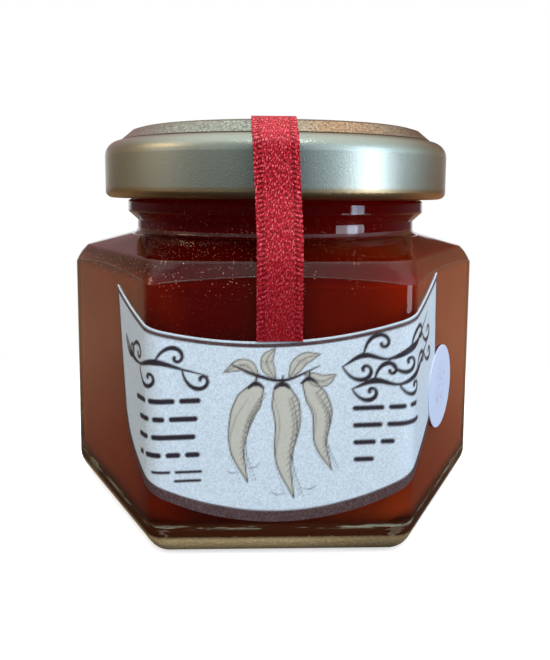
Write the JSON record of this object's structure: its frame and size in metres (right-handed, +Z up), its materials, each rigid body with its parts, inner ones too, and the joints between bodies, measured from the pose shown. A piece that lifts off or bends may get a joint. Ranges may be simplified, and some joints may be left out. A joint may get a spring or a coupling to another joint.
{
  "type": "jar of red pepper jam",
  "caption": "Squat six-sided glass jar of red pepper jam with a twist-off metal lid, a ribbon over the lid, a wrap label and a round sticker.",
  "frame": {"origin": "middle of the jar's foot, on the surface it stands on", "axes": "+Z up along the jar's axis; the labelled face looks towards -Y; +X is the reader's right"},
  "size_m": [0.0672, 0.0598, 0.0591],
  "materials": {
    "clear_glass": "polished clear glass",
    "pepper_jam": "dark red translucent jam",
    "lid_metal": "satin champagne gold lacquer",
    "seal_compound": "matt sealing compound",
    "satin_ribbon": "woven red satin ribbon",
    "label_paper": "uncoated printed paper",
    "sticker_paper": "coated paper"
  },
  "bodies": {
    "root": {"glass_jar": "clear_glass", "jam": "pepper_jam", "lid": "lid_metal", "lid_seal": "seal_compound", "ribbon": "satin_ribbon", "label": "label_paper", "sticker": "sticker_paper"}
  },
  "joints": []
}
